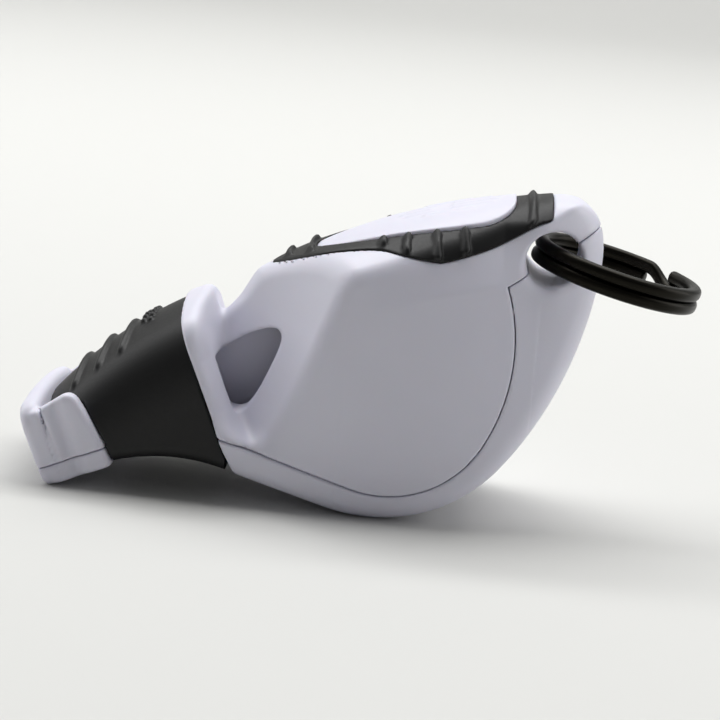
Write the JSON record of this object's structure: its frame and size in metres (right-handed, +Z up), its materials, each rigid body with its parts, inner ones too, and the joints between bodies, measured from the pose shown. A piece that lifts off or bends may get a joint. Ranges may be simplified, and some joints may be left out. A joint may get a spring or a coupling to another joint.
{
  "type": "training whistle",
  "caption": "Pealess training whistle with two welded shells, soft over-moulded grips, side sound outlets and a split ring that swings in a lanyard hole.",
  "frame": {"origin": "centre of the footprint on the table, with the whistle standing on its belly and the lower edge of its mouthpiece", "axes": "+X from the mouthpiece to the lanyard ring, +Z up, Y across the whistle with its mirror plane at y = 0"},
  "size_m": [0.0627, 0.0212, 0.0311],
  "materials": {
    "white_shell": "white ABS with a cool lavender tint, moulded with a fine satin texture",
    "black_grip": "black thermoplastic elastomer, over-moulded, dull satin",
    "black_steel": "spring steel with a black oxide finish, drawn along the wire"
  },
  "bodies": {
    "whistle": {"upper_housing": "white_shell", "lower_cover": "white_shell", "mouth_grip": "black_grip", "finger_grip": "black_grip"},
    "ring": {"split_ring": "black_steel"}
  },
  "joints": [
    {"name": "ring_swing", "type": "hinge", "parent": "whistle", "child": "ring", "pos_m": [0.01691, 0, 0.02555], "axis": [0, 1, 0], "range_deg": [-90, 50]}
  ]
}
